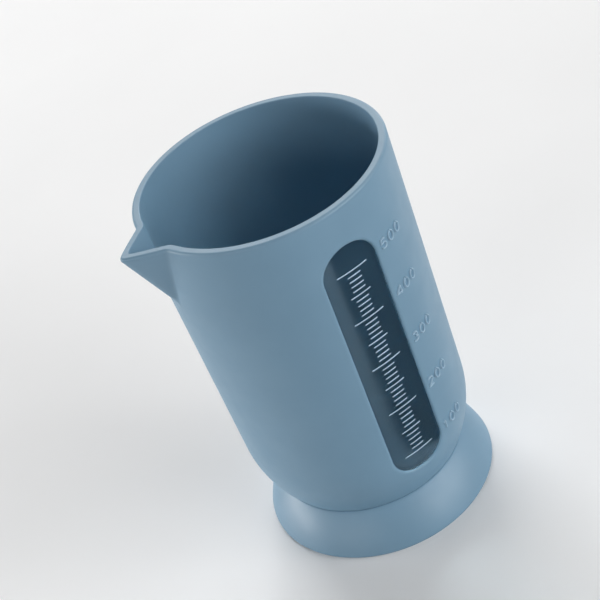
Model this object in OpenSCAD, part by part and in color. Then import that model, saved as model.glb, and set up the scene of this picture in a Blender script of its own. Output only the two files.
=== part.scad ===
// Measuring jug: a drafted cup with a rounded bowl, a beaked pouring spout, a clear sight window
// with a volume scale, and a flared foot. Millimetres, +Z up, origin on the axis at table height.
// The spout points along -X and the window faces -Y.

/* [Cup] */
// Outer diameter of the cup at the rim
rim_d = 87.6; // [70:0.1:110]
// Height of the rim above the table
jug_h = 142.5; // [125:0.5:170]
// Thickness of the moulded wall and floor
wall = 2.9; // [1.8:0.1:3.4]
// Draft of the straight wall away from the vertical, in degrees
draft = 1.1; // [0.4:0.1:2.5]
// Height above the table where the straight wall turns into the bowl
bowl_z = 39.7; // [34:0.1:46]
// Outer radius of the bowl's round
bowl_r = 44.7; // [40:0.1:52]
// Height of the floor's underside above the table
floor_z = 8.9; // [6:0.1:11]
// Outer radius of the corner between the bowl and the floor
corner_r = 9; // [6:0.2:12]
// Radius of the rim's rounded outer edge
rim_round = 1; // [0.4:0.05:1.1]
// Radius of the rim's rounded inner edge
rim_ease = 0.35; // [0.2:0.05:0.6]

/* [Spout] */
// Distance that the tip of the spout stands out past the rim
spout_reach = 11; // [7:0.1:16]
// Depth below the rim at which the keel of the spout runs into the wall
spout_depth = 26.2; // [18:0.1:36]
// Angle between each flank of the spout and its keel, seen from above
spout_angle = 37; // [32:1:48]
// Nose radius of the keel
spout_nose = 1.2; // [0.6:0.1:2]
// Nose radius of the groove inside the spout
groove_nose = 0.6; // [0.4:0.1:1.5]
// Size of the soft blend between the spout's flanks and the outside of the wall
spout_blend = 0.8; // [0.6:0.1:2.4]
// Size of the blend between the spout's groove and the inside of the wall
groove_blend = 1.2; // [0.4:0.1:1.6]

/* [Sight window] */
// Width of the window
window_w = 20.8; // [14:0.1:28]
// Height of the window's lower edge above the table
window_z = 29.7; // [26:0.1:36]
// Distance of the window's upper edge below the rim
window_gap = 14.1; // [8:0.1:18]
// Corner radius at the lower end of the window, whose upper end is a full half round
window_corner = 9; // [5:0.1:10]
// Depth of the pane's face below the outside of the wall
pane_recess = 0.8; // [0.4:0.05:1.2]
// Width of the tongue that runs round the pane inside the wall
tongue_w = 1.2; // [0.6:0.1:2.5]
// Thickness of the tongue
tongue_t = 0.7; // [0.4:0.05:0.9]

/* [Scale] */
// Distance of the top graduation below the rim
scale_gap = 23.9; // [20:0.1:32]
// Length of the graduations at the whole hundreds
long_mark = 11.7; // [8:0.1:13]
// Length of the graduations half way between the hundreds
mid_mark = 7.8; // [5:0.1:10]
// Length of the other graduations
short_mark = 4.9; // [3:0.1:8]
// Line width of the graduations
mark_w = 0.4; // [0.3:0.05:0.8]
// Height of the graduations above the pane
mark_relief = 0.15; // [0.1:0.05:0.3]

/* [Foot] */
// Height of the crease where the foot meets the bowl
foot_h = 16.2; // [14:0.1:20]
// Diameter of the foot at the table, before its lower edge is rounded
foot_d = 86.6; // [78:0.1:104]
// Swell of the flare beyond the straight line from the crease to the table
foot_swell = 1.1; // [0.2:0.05:1.5]
// Thickness of the flared skirt
foot_wall = 2.6; // [1.8:0.1:3.6]
// Radius of the rounded lower edge
foot_edge = 1.2; // [0.6:0.1:1.6]
// Depth of the step in the bowl that the foot sits in
seat_step = 0.6; // [0.3:0.05:1]
// Thickness of the ring that cups the bowl inside the foot
seat_t = 2.2; // [1.6:0.1:3]
// Height of the lower end of that ring above the table
seat_z = 10.2; // [9:0.1:12]

/* [Fits] */
// Clearance between pieces that seat in one another
fit_gap = 0.05; // [0.02:0.01:0.1]

/* [Hidden] */
$fn = 144;

body_colour = "#7d9ab0";
pane_colour = "#2a4055";
mark_colour = "#dfe7ee";

// Room for cutters to run past what they cut
over = 1;
rim_r = rim_d / 2;

// Directions in a half section, as [radius, height]: up, down, and square out of the straight wall
up = [0, 1];
down = [0, -1];
outward = [cos(draft), -sin(draft)];

// Radius of the outside of the straight wall, or its continuation, at a height
function wall_r(z) = rim_r - (jug_h - z) * tan(draft);
function inside_r(z) = wall_r(z) - wall / cos(draft);

// Centres of the bowl's round and of the corner between bowl and floor, as [radius, height].
// All skins of the cup are concentric about them.
bowl_c = [wall_r(bowl_z), bowl_z] - bowl_r * outward;
corner_c_z = floor_z + corner_r;
corner_c = [
    bowl_c.x + sqrt((bowl_r - corner_r) ^ 2 - (bowl_c.y - corner_c_z) ^ 2),
    corner_c_z
];
corner_dir = (corner_c - bowl_c) / norm(corner_c - bowl_c);

// Outside radius of the bowl at a height on its round
function bowl_radius(z) = bowl_c.x + sqrt(bowl_r ^ 2 - (bowl_c.y - z) ^ 2);

// What a corner loses when it is rounded by a circle of radius r about c, from one direction to another.
// It runs out far enough for the widest corner.
module corner_waste(c, r, from, to) {
    reach = 8 * r;
    difference() {
        polygon([c, c + reach * from, c + reach * (from + to), c + reach * to]);
        translate(c) circle(r = r);
    }
}

// Half section of the space inside the skin that lies inset under the outside of the cup
module cup_half(inset, top_z) {
    round_r = bowl_r - inset;
    turn = bowl_c + round_r * outward;
    polygon([
        [0, turn.y],
        turn,
        [wall_r(top_z) - inset / cos(draft), top_z],
        [0, top_z]
    ]);
    difference() {
        intersection() {
            translate(bowl_c) circle(r = round_r);
            translate([0, floor_z + inset]) square([rim_r, turn.y - floor_z - inset]);
        }
        corner_waste(corner_c, corner_r - inset, down, corner_dir);
    }
}

// Solid of revolution between two skins of the cup
module cup_shell(outer_inset, inner_inset) {
    rotate_extrude() difference() {
        cup_half(outer_inset, jug_h);
        cup_half(inner_inset, jug_h + over);
    }
}

// Heights where the rounded edges of the rim start, on the outside and on the inside
outer_z = jug_h - rim_round;
inner_z = jug_h - rim_ease;

// Half section of the cup: stepped in below the crease for the foot, rounded at the rim
module cup_section() {
    difference() {
        union() {
            intersection() {
                cup_half(0, jug_h);
                translate([0, foot_h]) square([rim_d, jug_h]);
            }
            intersection() {
                cup_half(seat_step, jug_h);
                square([rim_d, foot_h]);
            }
        }
        cup_half(wall, jug_h + over);
        corner_waste([wall_r(outer_z) - rim_round / cos(draft), outer_z], rim_round, up, outward);
        corner_waste([inside_r(inner_z) + rim_ease / cos(draft), inner_z], rim_ease, up, -outward);
    }
}

// Spout: a V of flat flanks whose keel slants in to the wall, blended into the round wall

keel_slope = (spout_reach + spout_depth * tan(draft)) / spout_depth;
// Distance of the rounded tip's flanks behind their sharp corner, for a nose radius
function nose_half(nose) = nose / tan(spout_angle);
function tip_r(z) = rim_r + spout_reach - (jug_h - z) * keel_slope;
function keel_apex(z) = tip_r(z) + nose_half(spout_nose) / tan(spout_angle);
function groove_apex(z) = keel_apex(z) - wall / sin(spout_angle);

// Radius at angle a from the keel of a V with its sharp corner at apex and a nose of half width n
function vee_r(a, apex, n) =
    apex * sin(spout_angle) / sin(spout_angle + sqrt(a ^ 2 + (n / apex * 180 / PI) ^ 2));

// The larger of p and q, with a parabolic blend where they differ by less than k
function soft_max(p, q, k) = max(p, q) + max(k - abs(p - q), 0) ^ 2 / (4 * k);

function spout_r(a, z) = soft_max(wall_r(z), vee_r(a, keel_apex(z), nose_half(spout_nose)), spout_blend);
function groove_r(a, z) =
    soft_max(inside_r(z), vee_r(a, groove_apex(z), nose_half(groove_nose)), groove_blend);

// The spout's sector of the wall reaches past its blends, and is set into the wall by a hair
spout_margin = 1.5;
seam = 0.02;
sector_angle =
    asin(keel_apex(jug_h) * sin(spout_angle) / (rim_r - spout_blend)) - spout_angle + spout_margin;
sector_z = jug_h - spout_depth - spout_blend / (keel_slope - tan(draft)) - spout_margin;
sector_overlap = 0.4;

sector_columns = 60;
sector_rows = 16;
rim_steps = 4;
// Columns crowd towards the keel, where the nose is tight
column_crowding = 1.2;

// One radial section of the spout's wall: up the outside, over the rim, down the inside
function spout_column(a) =
    let (
        row_z = function (i, top_z) sector_z + (top_z - sector_z) * i / sector_rows,
        turn = function (i) 90 * i / rim_steps,
        outer_c = [spout_r(a, outer_z) - seam - rim_round, outer_z - seam],
        inner_c = [groove_r(a, inner_z) + seam + rim_ease, inner_z - seam]
    )
    concat(
        [for (i = [0 : sector_rows]) let (z = row_z(i, outer_z)) [spout_r(a, z) - seam, z]],
        [for (i = [1 : rim_steps]) outer_c + rim_round * [cos(turn(i)), sin(turn(i))]],
        [for (i = [rim_steps : -1 : 1]) inner_c + rim_ease * [-cos(turn(i)), sin(turn(i))]],
        [for (i = [sector_rows : -1 : 0]) let (z = row_z(i, inner_z)) [groove_r(a, z) + seam, z]]
    );

module spout_wall() {
    columns = [
        for (j = [-sector_columns / 2 : sector_columns / 2])
            sign(j) * sector_angle * (2 * abs(j) / sector_columns) ^ column_crowding
    ];
    sections = [for (a = columns) spout_column(a)];
    count = len(sections[0]);
    last = len(columns) - 1;
    points = [
        for (j = [0 : last]) for (p = sections[j])
            [-p.x * cos(columns[j]), -p.x * sin(columns[j]), p.y]
    ];
    corner = function (j, i) j * count + i % count;
    skin = [
        for (j = [0 : last - 1]) for (i = [0 : count - 1])
            each [
                [corner(j, i), corner(j, i + 1), corner(j + 1, i + 1)],
                [corner(j, i), corner(j + 1, i + 1), corner(j + 1, i)]
            ]
    ];
    ends = [
        for (i = [0 : count / 2 - 2])
            let (k = count - 1 - i)
            each [
                [corner(0, k), corner(0, k - 1), corner(0, i + 1)],
                [corner(0, k), corner(0, i + 1), corner(0, i)],
                [corner(last, i), corner(last, i + 1), corner(last, k - 1)],
                [corner(last, i), corner(last, k - 1), corner(last, k)]
            ]
    ];
    polyhedron(points, concat(skin, ends), convexity = 6);
}

// Wedge of the plain wall that the spout takes the place of
module spout_clearing() {
    reach = rim_d;
    half = reach * tan(sector_angle - sector_overlap);
    translate([0, 0, sector_z + sector_overlap])
        linear_extrude(jug_h)
            polygon([[0, 0], [-reach, half], [-reach, -half]]);
}

// Sight window

window_r = window_w / 2;

// Outline of the window, grown outwards on every side, with x across and y up
module window_outline(grow) {
    shoulder = jug_h - window_gap - window_r;
    flat = window_r - window_corner;
    translate([0, shoulder]) circle(r = window_r + grow);
    translate([-window_r - grow, window_z + window_corner])
        square([window_w + 2 * grow, shoulder - window_z - window_corner]);
    translate([-flat, window_z - grow]) square([2 * flat, window_corner + grow]);
    for (side = [-1, 1])
        translate([side * flat, window_z + window_corner]) circle(r = window_corner + grow);
}

// Prism through the front wall, from a flat shape drawn with x across and y up
module through_front() {
    translate([0, -rim_r / 2, 0]) rotate([90, 0, 0]) linear_extrude(rim_r) children();
}

// Tongue's place between the pane's face and the inside of the wall
tongue_inset = pane_recess + (wall - pane_recess - tongue_t) / 2;

// The pane, or with grow the room for it in the wall
module pane(face_inset, grow) {
    intersection() {
        cup_shell(face_inset, wall + (grow > 0 ? over : 0));
        through_front() window_outline(grow);
    }
    intersection() {
        cup_shell(tongue_inset - grow, tongue_inset + tongue_t + grow);
        through_front() window_outline(tongue_w + grow);
    }
}

// Scale: equal shares of the volume held at the top graduation

marks_per_hundred = 10;
hundreds = 5;
top_mark_z = jug_h - scale_gap;

// Primitive of the squared radius of an arc of radius r about c, at a height
function arc_primitive(c, r, z) =
    let (t = z - c.y, root = sqrt(max(r ^ 2 - t ^ 2, 0)))
    (c.x ^ 2 + r ^ 2) * t - t ^ 3 / 3 + c.x * (t * root + r ^ 2 * asin(t / r) * PI / 180);

function arc_volume(c, r, z0, z1) = PI * (arc_primitive(c, r, z1) - arc_primitive(c, r, z0));
function cone_volume(z0, z1) =
    PI * (z1 - z0) / 3 * (inside_r(z0) ^ 2 + inside_r(z0) * inside_r(z1) + inside_r(z1) ^ 2);

// Heights on the inside where the floor's corner passes into the bowl and the bowl into the wall
floor_top = floor_z + wall;
corner_top = bowl_c.y + (bowl_r - wall) * corner_dir.y;
bowl_top = bowl_c.y - (bowl_r - wall) * sin(draft);

// Volume held up to a height, in cubic millimetres
function held(z) =
    z <= corner_top ? arc_volume(corner_c, corner_r - wall, floor_top, z)
    : z <= bowl_top ? held(corner_top) + arc_volume(bowl_c, bowl_r - wall, corner_top, z)
    : held(bowl_top) + cone_volume(bowl_top, z);

// Height at which the cup holds a volume, by halving the span between lo and hi
function level(volume, lo = floor_top, hi = top_mark_z, steps = 40) =
    let (mid = (lo + hi) / 2)
    steps == 0 ? mid
    : held(mid) < volume ? level(volume, mid, hi, steps - 1)
    : level(volume, lo, mid, steps - 1);

function mark_length(i) =
    i % marks_per_hundred == 0 ? long_mark
    : i % (marks_per_hundred / 2) == 0 ? mid_mark
    : short_mark;

// Foot

crease = [bowl_radius(foot_h), foot_h];
toe = [foot_d / 2, 0];
flare_chord = norm(toe - crease);
flare_r = (flare_chord ^ 2 / 4 + foot_swell ^ 2) / (2 * foot_swell);
flare_dir = (toe - crease) / flare_chord;
// Centre of the flare's round, on the inner side of the chord
flare_c = (crease + toe) / 2 + (flare_r - foot_swell) * [flare_dir.y, -flare_dir.x];
edge_c = [
    flare_c.x + sqrt((flare_r - foot_edge) ^ 2 - (foot_edge - flare_c.y) ^ 2),
    foot_edge
];
edge_dir = (edge_c - flare_c) / norm(edge_c - flare_c);

module foot_section() {
    seat_inset = seat_step - fit_gap;
    foot_top = foot_h - fit_gap;
    difference() {
        intersection() {
            translate(flare_c) circle(r = flare_r);
            union() {
                difference() {
                    square([foot_d, foot_top]);
                    translate(flare_c) circle(r = flare_r - foot_wall);
                }
                intersection() {
                    cup_half(seat_inset - seat_t, jug_h);
                    translate([0, seat_z]) square([foot_d, foot_top - seat_z]);
                }
            }
        }
        cup_half(seat_inset, jug_h);
        corner_waste(edge_c, foot_edge, down, edge_dir);
    }
}

module jug_body() {
    color(body_colour) {
        difference() {
            rotate_extrude() cup_section();
            spout_clearing();
            pane(-over, fit_gap);
        }
        spout_wall();
    }
}

module sight_window() {
    color(pane_colour) pane(pane_recess, 0);
}

module scale_marks() {
    full = held(top_mark_z);
    count = marks_per_hundred * hundreds;
    color(mark_colour)
        intersection() {
            cup_shell(pane_recess - mark_relief, pane_recess);
            through_front()
                for (i = [marks_per_hundred : count])
                    translate([0, level(full * i / count)])
                        square([mark_length(i), mark_w], center = true);
        }
}

module pedestal_foot() {
    color(body_colour) rotate_extrude() foot_section();
}

jug_body();
sight_window();
scale_marks();
pedestal_foot();
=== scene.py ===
"""Looks of the measuring jug.

Finely meshed pieces, procedural materials, a pale studio and the photograph's camera.
"""

import math

import bmesh
import bpy
import numpy as np
from mathutils import Matrix, Vector


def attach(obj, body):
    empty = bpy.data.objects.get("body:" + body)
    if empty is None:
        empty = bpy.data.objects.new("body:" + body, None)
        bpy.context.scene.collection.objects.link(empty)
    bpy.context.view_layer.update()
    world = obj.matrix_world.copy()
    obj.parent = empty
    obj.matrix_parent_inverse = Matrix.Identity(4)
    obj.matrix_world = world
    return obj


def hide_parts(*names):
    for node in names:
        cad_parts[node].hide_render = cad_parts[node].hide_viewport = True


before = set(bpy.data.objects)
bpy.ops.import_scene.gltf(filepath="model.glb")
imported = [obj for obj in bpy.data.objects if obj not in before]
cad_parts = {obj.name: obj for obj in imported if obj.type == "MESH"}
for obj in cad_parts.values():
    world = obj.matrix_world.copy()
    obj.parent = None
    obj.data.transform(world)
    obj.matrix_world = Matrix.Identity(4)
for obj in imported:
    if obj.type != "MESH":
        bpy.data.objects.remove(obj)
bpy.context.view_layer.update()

MM = 0.001
QUARTER = math.pi / 2

# Sizes of the cup in millimetres, as in the CAD
RIM_R = 43.8
JUG_H = 142.5
WALL = 2.9
DRAFT = math.radians(1.1)
BOWL_Z = 39.7
BOWL_R = 44.7
FLOOR_Z = 8.9
CORNER_R = 9.0
RIM_ROUND = 1.0
RIM_EASE = 0.35

# Sizes of the spout, and margins of the sector in which it is worked out
SPOUT_REACH = 11.0
SPOUT_DEPTH = 26.2
SPOUT_ANGLE = math.radians(37)
SPOUT_NOSE = 1.2
GROOVE_NOSE = 0.6
SPOUT_BLEND = 0.8
GROOVE_BLEND = 1.2
SECTOR_MARGIN = math.radians(1.5)
SECTOR_MARGIN_Z = 1.5
LEAST_APEX = 1.0
WIDEST_TURN = 1.2

# Sizes of the window, its pane and the graduations
WINDOW_AZIMUTH = QUARTER
WINDOW_R = 10.4
WINDOW_Z = 29.7
WINDOW_GAP = 14.1
WINDOW_TOP = JUG_H - WINDOW_GAP
WINDOW_CORNER = 9.0
SHOULDER_Z = WINDOW_TOP - WINDOW_R
HEEL_Z = WINDOW_Z + WINDOW_CORNER
LIP_REACH = 1.3
INNER_LIP_ROUND = 0.2
PANE_RECESS = 0.8
PANE_GAP = 0.06
PANE_CHAMFER = 0.12
SCALE_GAP = 23.9
TOP_MARK_Z = JUG_H - SCALE_GAP
MARK_LENGTHS = (11.7, 7.8, 4.9)
MARK_W = 0.4
MARK_RELIEF = 0.15
MARK_BEVEL = 0.05
MARK_SINK = 0.02
MARKS_PER_HUNDRED = 10
HUNDREDS = 5

# Sizes of the foot and of the crease above it
FOOT_H = 16.2
FOOT_R = 43.3
FOOT_SWELL = 1.1
FOOT_WALL = 2.6
FOOT_EDGE = 1.2
FOOT_LIP_ROUND = 0.45
TOE_EASE = 0.25
SEAT_STEP = 0.6
SEAT_T = 2.2
SEAT_Z = 10.2
SEAT_TOP_GAP = 0.02
FIT_GAP = 0.05
CREASE_ROUND = 0.42
CREASE_LEAN = 0.6

# Sizes of the raised numerals
NUMERAL_H = 4.1
NUMERAL_WIDEN = 1.3
NUMERAL_PITCH = 4.3
NUMERAL_STROKE = 0.68
NUMERAL_RELIEF = 0.75
NUMERAL_AZIMUTH = math.radians(24.1)
NUMERAL_LIFT = 0.8
NUMERAL_SINK = 0.05
STROKE_END = 0.35
STROKE_TAPER = 2

# Fineness of the cup's mesh
KEEL_COLUMNS = 96
KEEL_CROWDING = 1.5
SIDE_COLUMNS = 44
BLOCK_COLUMNS = 26
BACK_COLUMNS = 132
BLOCK_ROWS = 104
UPPER_ROWS = 12
RIM_ROWS = 9
RIM_TOP_SHARES = (0.1, 0.5, 0.9)
FLOOR_RINGS = (8.0, 16.0)
SEAT_CORNER_ROWS = 8
SEAT_ROWS = 6
CREASE_ROWS = 5
BOWL_ROWS = 14
INSIDE_BOWL_ROWS = 16
INSIDE_CORNER_ROWS = 10
LIP_ROWS = 9
INNER_LIP_ROWS = 4
OUTER_BLOCK_SHARES = (0.3, 0.6, 0.85, 1.0)
INNER_BLOCK_SHARES = (0.3, 0.65)

# Fineness of the other meshes and of the sums on them
PANE_RINGS = 15
PANE_CROWDING = 0.8
MARK_POINTS = 13
FOOT_COLUMNS = 288
FOOT_LIP_ROWS = 6
FLARE_ROWS = 20
FOOT_EDGE_ROWS = 10
SKIRT_ROWS = 16
SEAT_FACE_ROWS = 8
SEAT_SEARCH = 400
STROKE_STEP = 0.03
STROKE_POINTS = 7
WELD_DISTANCE = 1e-7
VOLUME_SLICES = 600
LEVEL_HALVINGS = 40

# Block of the cup's mesh that holds the window, with room for the lip round it
BLOCK_SIDE = 2.2
BLOCK_END = 2.6
BLOCK_WALL_R = 41.5
BLOCK_HALF = math.asin((WINDOW_R + BLOCK_SIDE) / BLOCK_WALL_R)
BLOCK_LOW = WINDOW_Z - BLOCK_END
BLOCK_HIGH = WINDOW_TOP + BLOCK_END

# Centres of the bowl's arc and of the floor's corner, as radius and height
BOWL_C = (
    RIM_R - (JUG_H - BOWL_Z) * math.tan(DRAFT) - BOWL_R * math.cos(DRAFT),
    BOWL_Z + BOWL_R * math.sin(DRAFT),
)
CORNER_Z = FLOOR_Z + CORNER_R
CORNER_C = (
    BOWL_C[0] + math.sqrt((BOWL_R - CORNER_R) ** 2 - (BOWL_C[1] - CORNER_Z) ** 2),
    CORNER_Z,
)
CORNER_LEAN = math.atan2(BOWL_C[1] - CORNER_C[1], CORNER_C[0] - BOWL_C[0])
KEEL_SLOPE = (SPOUT_REACH + SPOUT_DEPTH * math.tan(DRAFT)) / SPOUT_DEPTH


# Shape of the cup


def wall_r(z):
    return RIM_R - (JUG_H - z) * math.tan(DRAFT)


def skin_r(z, inset):
    """Radius, at a height, of the skin that lies inset under the outside of the cup."""
    z = np.asarray(z, float)
    bowl = BOWL_R - inset
    corner = CORNER_R - inset
    bowl_top = BOWL_C[1] - bowl * math.sin(DRAFT)
    corner_top = BOWL_C[1] - bowl * math.sin(CORNER_LEAN)
    straight = wall_r(z) - inset / math.cos(DRAFT)
    on_bowl = BOWL_C[0] + np.sqrt(np.maximum(bowl**2 - (BOWL_C[1] - z) ** 2, 0))
    on_corner = CORNER_C[0] + np.sqrt(np.maximum(corner**2 - (CORNER_C[1] - z) ** 2, 0))
    return np.where(z >= bowl_top, straight, np.where(z >= corner_top, on_bowl, on_corner))


def soft_max(p, q, k):
    """The larger of p and q, with a parabolic blend where they differ by less than k."""
    return np.maximum(p, q) + np.maximum(k - np.abs(p - q), 0) ** 2 / (4 * k)


def nose_half(nose):
    return nose / math.tan(SPOUT_ANGLE)


def keel_apex(z):
    tip = RIM_R + SPOUT_REACH - (JUG_H - z) * KEEL_SLOPE
    return tip + nose_half(SPOUT_NOSE) / math.tan(SPOUT_ANGLE)


def groove_apex(z):
    return keel_apex(z) - WALL / math.sin(SPOUT_ANGLE)


# Half angle and lower end of the sector in which the spout departs from the wall
SECTOR = (
    math.asin(keel_apex(JUG_H) * math.sin(SPOUT_ANGLE) / (RIM_R - SPOUT_BLEND))
    - SPOUT_ANGLE
    + SECTOR_MARGIN
)
SECTOR_Z = (
    JUG_H
    - SPOUT_DEPTH
    - SPOUT_BLEND / (KEEL_SLOPE - math.tan(DRAFT))
    - SECTOR_MARGIN_Z
)


def vee_r(a, apex, half):
    """Radius at angle a from the keel of a V with its sharp corner at apex.

    The corner is rounded to a nose of that half width.
    """
    turn = np.sqrt(a**2 + (half / apex) ** 2)
    return apex * math.sin(SPOUT_ANGLE) / np.sin(SPOUT_ANGLE + np.minimum(turn, WIDEST_TURN))


def spouted_r(a, z, inset, apex, nose, blend):
    """Radius at angle a from the spout of a skin with a V blended into it."""
    plain = skin_r(z, inset)
    vee = vee_r(a, np.maximum(apex, LEAST_APEX), nose_half(nose))
    spout = soft_max(plain, vee, blend)
    return np.where((np.abs(a) < SECTOR) & (z > SECTOR_Z), spout, plain)


def outside_r(a, z):
    return spouted_r(a, z, 0, keel_apex(z), SPOUT_NOSE, SPOUT_BLEND)


def inside_r(a, z):
    return spouted_r(a, z, WALL, groove_apex(z), GROOVE_NOSE, GROOVE_BLEND)


def around(r, a, z):
    """Points at radius r and angle a from the spout."""
    r, a, z = np.broadcast_arrays(r, a, np.asarray(z, float))
    return np.stack([-r * np.cos(a), -r * np.sin(a), z], -1)


def on_front(x, z, inset):
    """Points across the front wall, on the skin that lies inset under the outside."""
    return np.stack([x, -np.sqrt(skin_r(z, inset) ** 2 - x**2), z], -1)


def window_outline(x, z, grow):
    """Points of the window's outline, grown outwards, nearest to points x, z outside it."""
    flat = WINDOW_R - WINDOW_CORNER
    out_x = np.sign(x) * (WINDOW_R + grow)
    out_z = np.array(z, float)
    top = z > SHOULDER_Z
    turn = np.arctan2(z - SHOULDER_Z, x)
    out_x = np.where(top, (WINDOW_R + grow) * np.cos(turn), out_x)
    out_z = np.where(top, SHOULDER_Z + (WINDOW_R + grow) * np.sin(turn), out_z)
    low = z < HEEL_Z
    share = np.abs(np.arctan2(x, HEEL_Z - z)) / QUARTER
    run = share * (flat + WINDOW_CORNER * QUARTER)
    bend = np.maximum(run - flat, 0) / WINDOW_CORNER
    low_x = np.minimum(run, flat) + (WINDOW_CORNER + grow) * np.sin(bend)
    low_z = HEEL_Z - (WINDOW_CORNER + grow) * np.cos(bend)
    return np.where(low, np.sign(x) * low_x, out_x), np.where(low, low_z, out_z)


def held_volume(z):
    """Volume inside the cup up to a height, in cubic millimetres."""
    levels = np.linspace(FLOOR_Z + WALL, z, VOLUME_SLICES)
    area = math.pi * skin_r(levels, WALL) ** 2
    return float(np.sum((area[1:] + area[:-1]) / 2) * (levels[1] - levels[0]))


def level_of(volume):
    """Height up to which the cup holds a volume."""
    low, high = FLOOR_Z + WALL, TOP_MARK_Z
    for _ in range(LEVEL_HALVINGS):
        middle = (low + high) / 2
        low, high = (middle, high) if held_volume(middle) < volume else (low, middle)
    return (low + high) / 2


# Mesh building


class Builder:
    """Gathers points and faces of one mesh."""

    def __init__(self):
        self.points = []
        self.faces = []

    def row(self, points):
        """Adds points and returns their numbers."""
        first = len(self.points)
        self.points.extend(np.asarray(points, float).reshape(-1, 3))
        return np.arange(first, len(self.points))

    def band(self, low, high, closed=True, skip=()):
        """Quads between two rows of points."""
        n = len(low)
        for j in range(n if closed else n - 1):
            if j in skip:
                continue
            k = (j + 1) % n
            self.faces.append((low[j], low[k], high[k], high[j]))

    def bands(self, rows, **how):
        """Quads from each row of points to the next."""
        for low, high in zip(rows, rows[1:]):
            self.band(low, high, **how)

    def fan(self, centre, ring):
        """Triangles from a ring of points to its centre."""
        for here, ahead in zip(ring, np.roll(ring, -1)):
            self.faces.append((centre, ahead, here))

    def make(self, name, sharp, weld=False):
        """The object, with edges sharp past an angle in degrees."""
        mesh = bpy.data.meshes.new(name)
        mesh.from_pydata(
            [tuple(p * MM) for p in self.points],
            [],
            [tuple(int(i) for i in f) for f in self.faces],
        )
        if weld:
            weld_mesh(mesh)
        mesh.validate()
        mesh.shade_smooth()
        mesh.set_sharp_from_angle(angle=math.radians(sharp))
        obj = bpy.data.objects.new(name, mesh)
        bpy.context.scene.collection.objects.link(obj)
        return obj


def weld_mesh(mesh):
    bm = bmesh.new()
    bm.from_mesh(mesh)
    bmesh.ops.remove_doubles(bm, verts=bm.verts, dist=WELD_DISTANCE)
    bmesh.ops.recalc_face_normals(bm, faces=bm.faces)
    bm.to_mesh(mesh)
    bm.free()


def spread(start, stop, count, ends=True):
    """Evenly spaced values, count steps in all, with or without the last."""
    return np.linspace(start, stop, count + 1)[: None if ends else -1]


# The cup


def column_angles():
    """Angles from the spout of the columns of points, and the block's first column."""
    half = np.linspace(0, 1, KEEL_COLUMNS // 2 + 1) ** KEEL_CROWDING * SECTOR
    keel = np.concatenate([-half[:0:-1], half[:-1]])
    left = WINDOW_AZIMUTH - BLOCK_HALF
    right = WINDOW_AZIMUTH + BLOCK_HALF
    side = spread(SECTOR, left, SIDE_COLUMNS, False)
    block = spread(left, right, BLOCK_COLUMNS, False)
    back = spread(right, 2 * math.pi - SECTOR, BACK_COLUMNS, False)
    first = len(keel) + len(side)
    return np.concatenate([keel, side, block, back]), first


def block_ring(rows, first):
    """Point numbers round the window's block, from its rows of points."""
    last = first + BLOCK_COLUMNS
    bottom = [rows[0][j] for j in range(first, last)]
    right = [row[last] for row in rows[:-1]]
    top = [rows[-1][j] for j in range(last, first, -1)]
    left = [row[first] for row in rows[:0:-1]]
    return np.array(bottom + right + top + left)


def rim_arc(curve_r, angles, sign, radius):
    """Lean of the wall, and centres and directions of the rim's rounding on one side of it."""
    z = JUG_H - radius
    step = 1e-3
    here = around(curve_r(angles, z), angles, z)[:, :2]
    ahead = around(curve_r(angles + step, z), angles + step, z)[:, :2]
    back = around(curve_r(angles - step, z), angles - step, z)[:, :2]
    along = ahead - back
    along /= np.linalg.norm(along, axis=1)[:, None]
    normal = np.stack([-along[:, 1], along[:, 0]], 1)
    normal *= np.sign(np.sum(normal * here, 1))[:, None]
    below = around(curve_r(angles, z - step), angles, z)[:, :2]
    lean = np.arctan(np.sum((here - below) * normal, 1) / step)
    centre = here - sign * normal * (radius / np.cos(lean))[:, None]
    return lean, centre, sign * normal


def rim_rows(curve_r, angles, sign, radius):
    """Rows of points over the rim's rounded edge, from the wall up, and their first heights."""
    lean, centre, normal = rim_arc(curve_r, angles, sign, radius)
    start = -sign * lean
    rows = []
    for i in range(RIM_ROWS + 1):
        t = start + (QUARTER - start) * i / RIM_ROWS
        xy = centre + normal * (radius * np.cos(t))[:, None]
        z = JUG_H - radius + radius * np.sin(t)
        rows.append(np.column_stack([xy, z]))
    return rows, rows[0][:, 2]


def wall_rows(curve_r, angles, heights, top):
    """Rows of points up one side of the wall.

    Those above the block are stretched to end just under the heights in top.
    """
    rows = []
    high = heights[-1]
    for z in heights[:-1]:
        share = max(z - BLOCK_HIGH, 0) / (high - BLOCK_HIGH)
        level = z + share * (top - high)
        rows.append(around(curve_r(angles, level), angles, level))
    return rows


def skin_rows(b, angles, inset, heights):
    """Rows of points round the skin that lies inset under the outside."""
    return [b.row(around(skin_r(z, inset), angles, z)) for z in heights]


def corner_rows(b, angles, radius, turns):
    """Rows of points round the floor's corner, at turns from straight down."""
    rows = []
    for t in turns:
        r, z = CORNER_C[0] + radius * math.sin(t), CORNER_C[1] - radius * math.cos(t)
        rows.append(b.row(around(r, angles, z)))
    return rows


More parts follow.
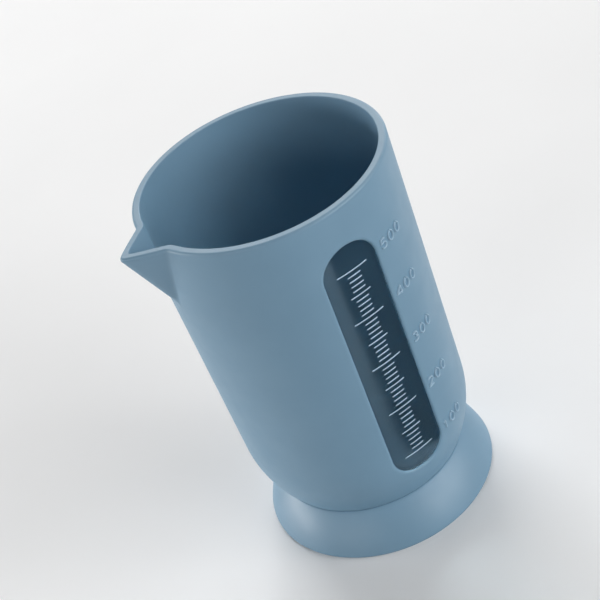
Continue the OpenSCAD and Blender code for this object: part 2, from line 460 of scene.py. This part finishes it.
def underside_rows(b, angles):
    """Rows of points from the underside of the floor, over the crease, to the block."""
    floor_z = FLOOR_Z + SEAT_STEP
    centre = b.row([[0, 0, floor_z]])[0]
    rows = [b.row(around(r, angles, floor_z)) for r in (*FLOOR_RINGS, CORNER_C[0])]
    b.fan(centre, rows[0])
    turns = spread(0, QUARTER - CORNER_LEAN, SEAT_CORNER_ROWS)[1:]
    rows += corner_rows(b, angles, CORNER_R - SEAT_STEP, turns)
    seat_z = b.points[rows[-1][0]][2]
    heights = spread(seat_z, FOOT_H - SEAT_TOP_GAP, SEAT_ROWS)[1:]
    rows += skin_rows(b, angles, SEAT_STEP, heights)
    edge_z = FOOT_H + CREASE_ROUND
    for t in spread(0, QUARTER, CREASE_ROWS):
        z = edge_z - CREASE_ROUND * math.cos(t)
        r = skin_r(edge_z, 0) - CREASE_ROUND * (1 - math.sin(t)) - (edge_z - z) * CREASE_LEAN
        rows.append(b.row(around(r, angles, z)))
    return rows + skin_rows(b, angles, 0, spread(edge_z, BLOCK_LOW, BOWL_ROWS, False)[1:])


def add_window(b, outer, inner):
    """Rings of faces from the block's outer edge, over the lip and through the wall.

    They end at the block's inner edge. The points of the outer edge are returned.
    """
    edge = np.array([b.points[i] for i in outer])
    inner_edge = np.array([b.points[i] for i in inner])
    rings = [outer]

    def outline(grow):
        return np.stack(window_outline(edge[:, 0], edge[:, 2], grow))

    start = edge[:, [0, 2]].T
    lip = outline(LIP_REACH)
    for share in OUTER_BLOCK_SHARES:
        x, z = start + share * (lip - start)
        rings.append(b.row(on_front(x, z, 0)))
    for t in spread(0, QUARTER, LIP_ROWS)[1:]:
        x, z = outline(LIP_REACH * (1 - math.sin(t)))
        rings.append(b.row(on_front(x, z, PANE_RECESS * (1 - math.cos(t)))))
    for t in spread(0, QUARTER, INNER_LIP_ROWS):
        x, z = bore = outline(INNER_LIP_ROUND * (1 - math.cos(t)))
        rings.append(b.row(on_front(x, z, WALL - INNER_LIP_ROUND * (1 - math.sin(t)))))
    stop = inner_edge[:, [0, 2]].T
    for share in INNER_BLOCK_SHARES:
        x, z = bore + share * (stop - bore)
        rings.append(b.row(on_front(x, z, WALL)))
    rings.append(inner)
    b.bands(rings)
    return edge


def build_body():
    """The cup, and the points of the outer edge of the window's block."""
    angles, first = column_angles()
    signed = np.where(angles > math.pi, angles - 2 * math.pi, angles)
    skip = range(first, first + BLOCK_COLUMNS)
    heights = np.concatenate([
        spread(BLOCK_LOW, BLOCK_HIGH, BLOCK_ROWS, False),
        spread(BLOCK_HIGH, JUG_H - RIM_ROUND, UPPER_ROWS),
    ])
    b = Builder()
    lower = underside_rows(b, angles)
    b.bands(lower)

    # Outside of the wall, with the window's block left open
    rim_out, out_start = rim_rows(outside_r, signed, 1, RIM_ROUND)
    rows_out = [b.row(p) for p in wall_rows(outside_r, signed, heights, out_start)]
    b.band(lower[-1], rows_out[0])
    block_out = rows_out[: BLOCK_ROWS + 1]
    b.bands(block_out, skip=skip)
    upper = rows_out[BLOCK_ROWS:] + [b.row(p) for p in rim_out]

    # Over the flat top of the rim and down the inside
    rim_in, in_start = rim_rows(inside_r, signed, -1, RIM_EASE)
    across = rim_in[-1] - rim_out[-1]
    upper += [b.row(rim_out[-1] + share * across) for share in RIM_TOP_SHARES]
    upper += [b.row(p) for p in rim_in[::-1]]
    rows_in = [b.row(p) for p in wall_rows(inside_r, signed, heights, in_start)]
    upper += rows_in[: BLOCK_ROWS - 1 : -1]
    b.bands(upper)
    block_in = rows_in[: BLOCK_ROWS + 1]
    b.bands(block_in[::-1], skip=skip)

    # Inside of the bowl and its floor
    corner_top = BOWL_C[1] - (BOWL_R - WALL) * math.sin(CORNER_LEAN)
    rows = [rows_in[0]]
    rows += skin_rows(b, angles, WALL, spread(BLOCK_LOW, corner_top, INSIDE_BOWL_ROWS)[1:])
    turns = spread(QUARTER - CORNER_LEAN, 0, INSIDE_CORNER_ROWS)[1:]
    rows += corner_rows(b, angles, CORNER_R - WALL, turns)
    rows += [b.row(around(r, angles, FLOOR_Z + WALL)) for r in FLOOR_RINGS[::-1]]
    b.bands(rows)
    b.fan(b.row([[0, 0, FLOOR_Z + WALL]])[0], rows[-1])

    edge = add_window(b, block_ring(block_out, first), block_ring(block_in, first))
    return b.make("cup", sharp=50.0), edge


# The pane and the graduations on it


def build_pane(edge):
    """The clear pane, as rings of points from its middle line out, on both faces."""
    b = Builder()

    def ring(share, grow, depth):
        x, z = window_outline(edge[:, 0], edge[:, 2], grow)
        middle = np.clip(z, HEEL_Z, SHOULDER_Z)
        return b.row(on_front(x * share, middle + (z - middle) * share, depth))

    shares = np.linspace(0, 1, PANE_RINGS) ** PANE_CROWDING
    face = -PANE_GAP - PANE_CHAMFER
    rings = [ring(share, face, PANE_RECESS) for share in shares]
    rings.append(ring(1, -PANE_GAP, PANE_RECESS + PANE_CHAMFER))
    rings.append(ring(1, -PANE_GAP, WALL - PANE_CHAMFER))
    rings += [ring(share, face, WALL) for share in shares[::-1]]
    b.bands(rings)
    return b.make("pane", sharp=30.0, weld=True)


def mark_length(i):
    """Length of a bar: long at whole hundreds, middling at halves, short between."""
    whole, half, tenth = MARK_LENGTHS
    if i % MARKS_PER_HUNDRED == 0:
        return whole
    return half if i % (MARKS_PER_HUNDRED // 2) == 0 else tenth


def build_marks():
    """The printed bars, each with bevelled edges and a base sunk into the pane."""
    b = Builder()
    full = held_volume(TOP_MARK_Z)
    count = MARKS_PER_HUNDRED * HUNDREDS
    face = PANE_RECESS - MARK_RELIEF
    n = MARK_POINTS

    def loop(z0, half, h, depth):
        x = np.linspace(-half, half, n)
        low = on_front(x, np.full_like(x, z0 - h), depth)
        high = on_front(x, np.full_like(x, z0 + h), depth)
        return b.row(np.concatenate([low, high[::-1]]))

    for i in range(MARKS_PER_HUNDRED, count + 1):
        z0 = level_of(full * i / count)
        half = mark_length(i) / 2
        h = MARK_W / 2
        base = loop(z0, half, h, PANE_RECESS + MARK_SINK)
        shoulder = loop(z0, half, h, face + MARK_BEVEL)
        top = loop(z0, half - MARK_BEVEL, h - MARK_BEVEL, face)
        b.bands([base, shoulder, top])
        for j in range(n - 1):
            k = 2 * n - 1 - j
            b.faces.append((top[j], top[j + 1], top[k - 1], top[k]))
            b.faces.append((base[j + 1], base[j], base[k], base[k - 1]))
    return b.make("graduations", sharp=30.0)


# The foot


def on_arc(centre, radius, turns):
    """Points of an arc, as radius and height."""
    return [(centre[0] + radius * math.cos(t), centre[1] + radius * math.sin(t)) for t in turns]


def foot_profile():
    """Loop of the foot's half section, from the crease outwards and back under the bowl."""
    crease = np.array([float(skin_r(FOOT_H, 0)), FOOT_H])
    toe = np.array([FOOT_R, 0.0])
    chord = np.linalg.norm(toe - crease)
    flare_r = (chord**2 / 4 + FOOT_SWELL**2) / (2 * FOOT_SWELL)
    along = (toe - crease) / chord
    c = (crease + toe) / 2 + (flare_r - FOOT_SWELL) * np.array([along[1], -along[0]])
    skirt_r = flare_r - FOOT_WALL
    top_z = FOOT_H - FIT_GAP
    seat = SEAT_STEP - FIT_GAP

    def arc_r(radius, z):
        return c[0] + math.sqrt(radius**2 - (z - c[1]) ** 2)

    def ring_r(z):
        return float(skin_r(z, seat - SEAT_T))

    # Flat top, rounded lip, flare and rounded lower edge
    points = [(float(skin_r(top_z, seat)), top_z)]
    for t in spread(QUARTER, 0, FOOT_LIP_ROWS, False):
        z = top_z - FOOT_LIP_ROUND * (1 - math.sin(t))
        points.append((arc_r(flare_r, z) - FOOT_LIP_ROUND * (1 - math.cos(t)), z))
    edge = (arc_r(flare_r - FOOT_EDGE, FOOT_EDGE), FOOT_EDGE)
    start = math.asin((top_z - FOOT_LIP_ROUND - c[1]) / flare_r)
    stop = math.atan2(edge[1] - c[1], edge[0] - c[0])
    points += on_arc(c, flare_r, spread(start, stop, FLARE_ROWS))
    points += on_arc(edge, FOOT_EDGE, spread(stop, -QUARTER, FOOT_EDGE_ROWS)[1:])

    # Eased inner edge of the toe, then the inside of the skirt up to the seat ring
    skirt_low = math.asin((TOE_EASE - c[1]) / skirt_r)
    points.append((c[0] + skirt_r * math.cos(skirt_low) + TOE_EASE, 0.0))
    levels = np.linspace(SEAT_Z, top_z, SEAT_SEARCH)
    meet_z = next((z for z in levels if arc_r(skirt_r, z) <= ring_r(z)), SEAT_Z)
    skirt_high = math.asin((meet_z - c[1]) / skirt_r)
    points += on_arc(c, skirt_r, spread(skirt_low, skirt_high, SKIRT_ROWS))

    # Seat ring, down its outside and up its inside
    points += [(ring_r(z), z) for z in spread(meet_z, SEAT_Z, SEAT_FACE_ROWS)[1:]]
    inside = spread(SEAT_Z, top_z, SEAT_FACE_ROWS, False)
    return points + [(float(skin_r(z, seat)), z) for z in inside]


def build_foot():
    b = Builder()
    angles = spread(0, 2 * math.pi, FOOT_COLUMNS, False)
    rings = [b.row(around(r, angles, z)) for r, z in foot_profile()]
    b.bands(rings + rings[:1])
    return b.make("foot", sharp=40.0, weld=True)


# Raised numerals


def arc(cx, cy, rx, ry, start, stop, steps=18):
    t = np.radians(np.linspace(start, stop, steps))
    return np.column_stack([cx + rx * np.cos(t), cy + ry * np.sin(t)])


# Each figure is one stroke in a cell one unit high, about the cell's middle
STROKES = {
    "0": arc(0, 0, 0.28, 0.5, 90, 450, 40),
    "1": np.array([[-0.16, 0.3], [0.04, 0.5], [0.04, 0.0], [0.04, -0.5]]),
    "2": np.concatenate([
        arc(0, 0.23, 0.27, 0.27, 165, -35),
        [[-0.28, -0.5], [0.0, -0.5], [0.29, -0.5]],
    ]),
    "3": np.concatenate([
        arc(0, 0.25, 0.24, 0.25, 150, -80),
        arc(0, -0.24, 0.28, 0.26, 80, -150),
    ]),
    "4": np.array([
        [0.14, -0.5], [0.14, 0.0], [0.14, 0.5],
        [-0.32, -0.22], [0.0, -0.22], [0.34, -0.22],
    ]),
    "5": np.concatenate([
        [[0.25, 0.5], [-0.2, 0.5], [-0.23, 0.06]],
        arc(0, -0.19, 0.29, 0.31, 115, -145),
    ]),
}


def fine_path(path):
    """The path with points no further apart than a small step."""
    out = [path[0]]
    for p, q in zip(path, path[1:]):
        n = max(1, int(math.ceil(np.linalg.norm(q - p) / STROKE_STEP)))
        out += [p + (q - p) * i / n for i in range(1, n + 1)]
    return np.array(out)


def add_bead(b, path, z0):
    """A rounded bead on the outside of the cup, along a path in millimetres across and up."""
    along = np.gradient(path, axis=0)
    along /= np.linalg.norm(along, axis=1)[:, None]
    side = np.column_stack([-along[:, 1], along[:, 0]])
    turns = np.linspace(0, math.pi, STROKE_POINTS)
    rows = []
    n = len(path)
    for i in range(n):
        from_end = min(i, n - 1 - i) / STROKE_TAPER
        taper = min(1.0, STROKE_END + (1 - STROKE_END) * from_end)
        uv = path[i] + np.cos(turns)[:, None] * side[i] * NUMERAL_STROKE / 2 * taper
        lift = np.sin(turns) * NUMERAL_RELIEF * taper - NUMERAL_SINK
        z = z0 + uv[:, 1]
        r = skin_r(z, 0)
        angle = WINDOW_AZIMUTH + NUMERAL_AZIMUTH + uv[:, 0] / r
        rows.append(b.row(around(r + lift, angle, z)))
    b.bands(rows[::-1], closed=False)
    b.faces.append(tuple(rows[0][::-1]))
    b.faces.append(tuple(rows[-1]))


def build_numerals():
    b = Builder()
    full = held_volume(TOP_MARK_Z)
    for hundred in range(1, HUNDREDS + 1):
        z0 = level_of(full * hundred / HUNDREDS) + NUMERAL_LIFT
        for place, digit in enumerate(f"{hundred}00"):
            path = fine_path(STROKES[digit]) * (NUMERAL_H - NUMERAL_STROKE)
            path[:, 0] = path[:, 0] * NUMERAL_WIDEN + (place - 1) * NUMERAL_PITCH
            add_bead(b, path, z0)
    return b.make("numerals", sharp=60.0)


# Colours, as pairs between which a noise moves, and limits of roughness
BODY_BLUE = ((0.143, 0.254, 0.351, 1), (0.153, 0.268, 0.368, 1))
BODY_SHEEN = (0.42, 0.50)
# The numerals' blue is lighter than the body's: a painted highlight on the crests of the raised
# strokes
NUMERAL_HIGHLIGHT_BLUE = ((0.275, 0.412, 0.530, 1), (0.287, 0.427, 0.548, 1))
NUMERAL_SHEEN = (0.30, 0.36)
CLEAR_TINT = ((0.56, 0.80, 0.91, 1), (0.60, 0.83, 0.93, 1))
CLEAR_SHEEN = (0.02, 0.07)
CLEAR_SHADOW = (0.80, 0.88, 0.92, 1)
CLEAR_SHARE = 0.985
PRINT_PALE = ((0.29, 0.41, 0.52, 1), (0.35, 0.47, 0.58, 1))
PRINT_SHEEN = (0.4, 0.55)
PAPER_WHITE = ((0.83, 0.83, 0.83, 1), (0.85, 0.85, 0.85, 1))
# The card's colours, pale blue grey and black, are a painted reflection on the pane
PAINTED_REFLECTION_GREYS = ((0.70, 0.86, 0.98, 1), (0.010, 0.012, 0.014, 1))
WHITE = (1.0, 1.0, 1.0, 1.0)
PLASTIC_IOR = 1.5
MATT_ROUGHNESS = 0.9

# Spans of a noise's values over which a colour or a roughness changes
COLOUR_SPAN = (0.35, 0.65)
SHEEN_SPAN = (0.3, 0.7)

# Studio in metres: paper that fades into the backdrop, and a card with two soft edges that
# paints a reflection on the pane.
# An edge is a direction across the card and the distances where its fade starts and stops.
FLOOR_SIDE = (-1.3, 1.3)
BACKDROP = 0.85
PAPER_GLOW = 0.06
PAPER_FADE = (0.6, 1.2)
CARD_ACROSS = (-0.30, 0.60)
CARD_AWAY = (-0.60, -0.047)
CARD_Z = 0.0005
CARD_EDGES = ((1.0, 0.12, -0.020, 0.003), (0.754, -0.657, 0.050, 0.062))


# Materials


def new_material(name):
    material = bpy.data.materials.new(name)
    material.use_nodes = True
    tree = material.node_tree
    tree.nodes.clear()
    out = tree.nodes.new("ShaderNodeOutputMaterial")
    shader = tree.nodes.new("ShaderNodeBsdfPrincipled")
    tree.links.new(shader.outputs["BSDF"], out.inputs["Surface"])
    coords = tree.nodes.new("ShaderNodeTexCoord").outputs["Object"]
    return material, tree, shader, coords


def noise(tree, coords, scale, detail=3.0):
    node = tree.nodes.new("ShaderNodeTexNoise")
    node.inputs["Scale"].default_value = scale
    node.inputs["Detail"].default_value = detail
    tree.links.new(coords, node.inputs["Vector"])
    return node.outputs["Fac"]


def ramp(tree, source, colours, span=COLOUR_SPAN):
    node = tree.nodes.new("ShaderNodeValToRGB")
    for element, position, colour in zip(node.color_ramp.elements, span, colours):
        element.position = position
        element.color = colour
    tree.links.new(source, node.inputs["Fac"])
    return node.outputs["Color"]


def spanned(tree, source, span, limits=(0.0, 1.0), way="LINEAR"):
    """A socket that goes from limit to limit while the source crosses a span."""
    node = tree.nodes.new("ShaderNodeMapRange")
    node.interpolation_type = way
    names = ("From Min", "From Max", "To Min", "To Max")
    for name, value in zip(names, (*span, *limits)):
        node.inputs[name].default_value = value
    tree.links.new(source, node.inputs["Value"])
    return node.outputs["Result"]


def combined(tree, operation, first, second):
    """Socket of a Math node on two sockets."""
    node = tree.nodes.new("ShaderNodeMath")
    node.operation = operation
    tree.links.new(first, node.inputs[0])
    tree.links.new(second, node.inputs[1])
    return node.outputs["Value"]


def scaled(tree, socket, factor):
    node = tree.nodes.new("ShaderNodeMath")
    node.operation = "MULTIPLY"
    node.inputs[1].default_value = factor
    tree.links.new(socket, node.inputs[0])
    return node.outputs["Value"]


def light_path(tree):
    return tree.nodes.new("ShaderNodeLightPath").outputs


def seen_rays(tree):
    """A socket that is 1 for rays that show the background.

    They come from the camera, from reflections and through glass.
    """
    path = light_path(tree)
    seen = combined(tree, "MAXIMUM", path["Is Camera Ray"], path["Is Glossy Ray"])
    return combined(tree, "MAXIMUM", seen, path["Is Transmission Ray"])


def bumped(tree, source, shader, strength, distance):
    node = tree.nodes.new("ShaderNodeBump")
    node.inputs["Strength"].default_value = strength
    node.inputs["Distance"].default_value = distance
    tree.links.new(source, node.inputs["Height"])
    tree.links.new(node.outputs["Normal"], shader.inputs["Normal"])


def matt(shader, specular):
    shader.inputs["Roughness"].default_value = MATT_ROUGHNESS
    shader.inputs["Specular IOR Level"].default_value = specular


def mixed(tree, share, first, second):
    """Sends the first shader to the surface where share is 0, and the second where it is 1."""
    node = tree.nodes.new("ShaderNodeMixShader")
    tree.links.new(share, node.inputs["Fac"])
    tree.links.new(first.outputs["BSDF"], node.inputs[1])
    tree.links.new(second.outputs["BSDF"], node.inputs[2])
    tree.links.new(node.outputs["Shader"], tree.nodes["Material Output"].inputs["Surface"])


def plastic(name, colours, roughness):
    """Satin moulded plastic with a faint mottle, an uneven sheen and a fine eroded grain."""
    material, tree, shader, coords = new_material(name)
    mottle = noise(tree, coords, scale=40.0, detail=4.0)
    tree.links.new(ramp(tree, mottle, colours), shader.inputs["Base Color"])
    sheen = noise(tree, coords, scale=130.0)
    rough = spanned(tree, sheen, SHEEN_SPAN, roughness)
    tree.links.new(rough, shader.inputs["Roughness"])
    grain = noise(tree, coords, scale=2600.0, detail=2.0)
    bumped(tree, grain, shader, strength=0.12, distance=0.00004)
    shader.inputs["IOR"].default_value = PLASTIC_IOR
    return material


def clear_plastic(name):
    """Polished clear plastic with a breath of haze on it, which lets the lamps shine through."""
    material, tree, shader, coords = new_material(name)
    haze = noise(tree, coords, scale=60.0, detail=4.0)
    rough = spanned(tree, haze, SHEEN_SPAN, CLEAR_SHEEN)
    tree.links.new(rough, shader.inputs["Roughness"])
    tint = noise(tree, coords, scale=25.0)
    tree.links.new(ramp(tree, tint, CLEAR_TINT), shader.inputs["Base Color"])
    shader.inputs["Transmission Weight"].default_value = CLEAR_SHARE
    shader.inputs["IOR"].default_value = PLASTIC_IOR
    passed = tree.nodes.new("ShaderNodeBsdfTransparent")
    passed.inputs["Color"].default_value = CLEAR_SHADOW
    mixed(tree, light_path(tree)["Is Shadow Ray"], shader, passed)
    return material


def ink(name):
    """Pale print with a slightly uneven film."""
    material, tree, shader, coords = new_material(name)
    film = noise(tree, coords, scale=900.0)
    tree.links.new(ramp(tree, film, PRINT_PALE), shader.inputs["Base Color"])
    rough = spanned(tree, film, SHEEN_SPAN, PRINT_SHEEN)
    tree.links.new(rough, shader.inputs["Roughness"])
    bumped(tree, film, shader, strength=0.2, distance=0.00003)
    return material


def paper(name):
    """Seamless pale paper with a faint tooth, which fades into the backdrop far from the jug."""
    material, tree, shader, coords = new_material(name)
    tooth = noise(tree, coords, scale=6.0, detail=5.0)
    tree.links.new(ramp(tree, tooth, PAPER_WHITE), shader.inputs["Base Color"])
    matt(shader, specular=0.1)
    shader.inputs["Emission Color"].default_value = WHITE
    glow = scaled(tree, seen_rays(tree), PAPER_GLOW)
    tree.links.new(glow, shader.inputs["Emission Strength"])
    away = tree.nodes.new("ShaderNodeVectorMath")
    away.operation = "LENGTH"
    tree.links.new(coords, away.inputs[0])
    far = spanned(tree, away.outputs["Value"], PAPER_FADE, way="SMOOTHSTEP")
    mixed(tree, far, shader, tree.nodes.new("ShaderNodeBsdfTransparent"))
    return material


def painted_reflection_card(name):
    """Black card that grades into blue grey past two soft edges.

    One edge is to its left and one next to the jug. Only light paths with a reflection in
    them meet the card, on either face of the pane, so its black and blue grey are a painted
    reflection there.
    """
    material, tree, shader, coords = new_material(name)
    matt(shader, specular=0.0)
    blacks = []
    for across, away, start, stop in CARD_EDGES:
        along = tree.nodes.new("ShaderNodeVectorMath")
        along.operation = "DOT_PRODUCT"
        along.inputs[1].default_value = (across, away, 0.0)
        tree.links.new(coords, along.inputs[0])
        blacks.append(spanned(tree, along.outputs["Value"], (start, stop), way="SMOOTHSTEP"))
    both = combined(tree, "MULTIPLY", *blacks)
    colour = ramp(tree, both, PAINTED_REFLECTION_GREYS, span=(0.0, 1.0))
    tree.links.new(colour, shader.inputs["Base Color"])
    gone = tree.nodes.new("ShaderNodeBsdfTransparent")
    mixed(tree, light_path(tree)["Glossy Depth"], gone, shader)
    return material


# Pieces

body_plastic = plastic("body_plastic", BODY_BLUE, BODY_SHEEN)
foot_plastic = plastic("foot_plastic", BODY_BLUE, BODY_SHEEN)
pane_plastic = clear_plastic("pane_plastic")
mark_ink = ink("mark_ink")
# Numerals in a lighter copy of the body's plastic, whose lighter blue is a painted highlight
numeral_highlight_plastic = plastic("numeral_highlight_plastic", NUMERAL_HIGHLIGHT_BLUE, NUMERAL_SHEEN)

cup, window_edge = build_body()
pane = build_pane(window_edge)
marks = build_marks()
foot = build_foot()
numerals = build_numerals()

PIECES = (
    (cup, body_plastic, "body", "jug_body"),
    (pane, pane_plastic, "pane", "sight_window"),
    (marks, mark_ink, "marks", "scale_marks"),
    (foot, foot_plastic, "foot", "pedestal_foot"),
    (numerals, numeral_highlight_plastic, "body", None),
)
for piece, material, slot_name, node_name in PIECES:
    piece.data.materials.append(material)
    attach(piece, "root")
    if node_name:
        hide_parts(node_name)
        # The CAD node that the piece stands for carries the same material
        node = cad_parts[node_name]
        node.data.materials.clear()
        node.data.materials.append(material)


# Studio


def flat_sheet(name, across, away, z, material):
    """A level rectangle on the stage, between two values across and two away."""
    (left, right), (near, far) = across, away
    corners = [(left, near, z), (right, near, z), (right, far, z), (left, far, z)]
    mesh = bpy.data.meshes.new(name)
    mesh.from_pydata(corners, [], [tuple(range(len(corners)))])
    mesh.materials.append(material)
    obj = bpy.data.objects.new(name, mesh)
    bpy.context.scene.collection.objects.link(obj)
    return obj


flat_sheet("studio_floor", FLOOR_SIDE, FLOOR_SIDE, 0.0, paper("backdrop_paper"))

# A dark card before the window, which only reflections see, keeps the pane clear to look
# through: it is a painted reflection on the pane, dark with pale blue-grey strips
card = flat_sheet("dark_reflection_card", CARD_ACROSS, CARD_AWAY, CARD_Z, painted_reflection_card("painted_reflection_face"))
card.visible_camera = False
card.visible_diffuse = False
card.visible_shadow = False

# Camera and its axes in the jug's frame, as the photograph was taken
RIGHT = Vector((0.7838, -0.5357, -0.3143))
DOWN = Vector((-0.5489, -0.3609, -0.7540))
FORWARD = Vector((0.2905, 0.7635, -0.5767))
EYE = Vector((-0.1577, -0.4045, 0.3942))
LENS = 92.49
SENSOR = 36.0
NEAREST = 0.01

camera_data = bpy.data.cameras.new("camera")
camera_data.lens = LENS
camera_data.sensor_width = SENSOR
camera_data.clip_start = NEAREST
camera = bpy.data.objects.new("camera", camera_data)
bpy.context.scene.collection.objects.link(camera)
turn = Matrix((RIGHT, -DOWN, -FORWARD)).transposed()
camera.matrix_world = Matrix.Translation(EYE) @ turn.to_4x4()
bpy.context.scene.camera = camera

# Lamps: name, place from the jug's middle, size and power
AIM = Vector((0, 0, 0.075))
SOFTBOXES = (
    ("left_strip", (-1.78, 1.27, 0.15), (1.5, 0.4), 35.0),
    ("left_front", (-1.90, -0.90, 0.50), (1.2, 0.6), 10.0),
    ("back_high", (0.40, 1.30, 1.70), (1.0, 1.0), 27.0),
    ("back_right", (1.50, 1.40, 0.80), (1.2, 1.2), 13.0),
    ("front_right", (0.92, -1.89, 0.67), (1.5, 1.5), 33.0),
    ("right", (1.60, -1.30, 0.70), (1.0, 1.0), 13.0),
)
for name, offset, size, power in SOFTBOXES:
    data = bpy.data.lights.new(name, "AREA")
    data.shape = "RECTANGLE"
    data.size, data.size_y = size
    data.energy = power
    lamp = bpy.data.objects.new(name, data)
    away = Vector(offset)
    facing = away.to_track_quat("Z", "Y").to_matrix().to_4x4()
    lamp.matrix_world = Matrix.Translation(AIM + away) @ facing
    lamp.visible_camera = False
    bpy.context.scene.collection.objects.link(lamp)

world = bpy.data.worlds.new("studio")
bpy.context.scene.world = world
world.use_nodes = True
sky = world.node_tree.nodes["Background"]
sky.inputs["Color"].default_value = WHITE
level = scaled(world.node_tree, seen_rays(world.node_tree), BACKDROP)
world.node_tree.links.new(level, sky.inputs["Strength"])

bpy.context.scene.view_settings.view_transform = "Standard"
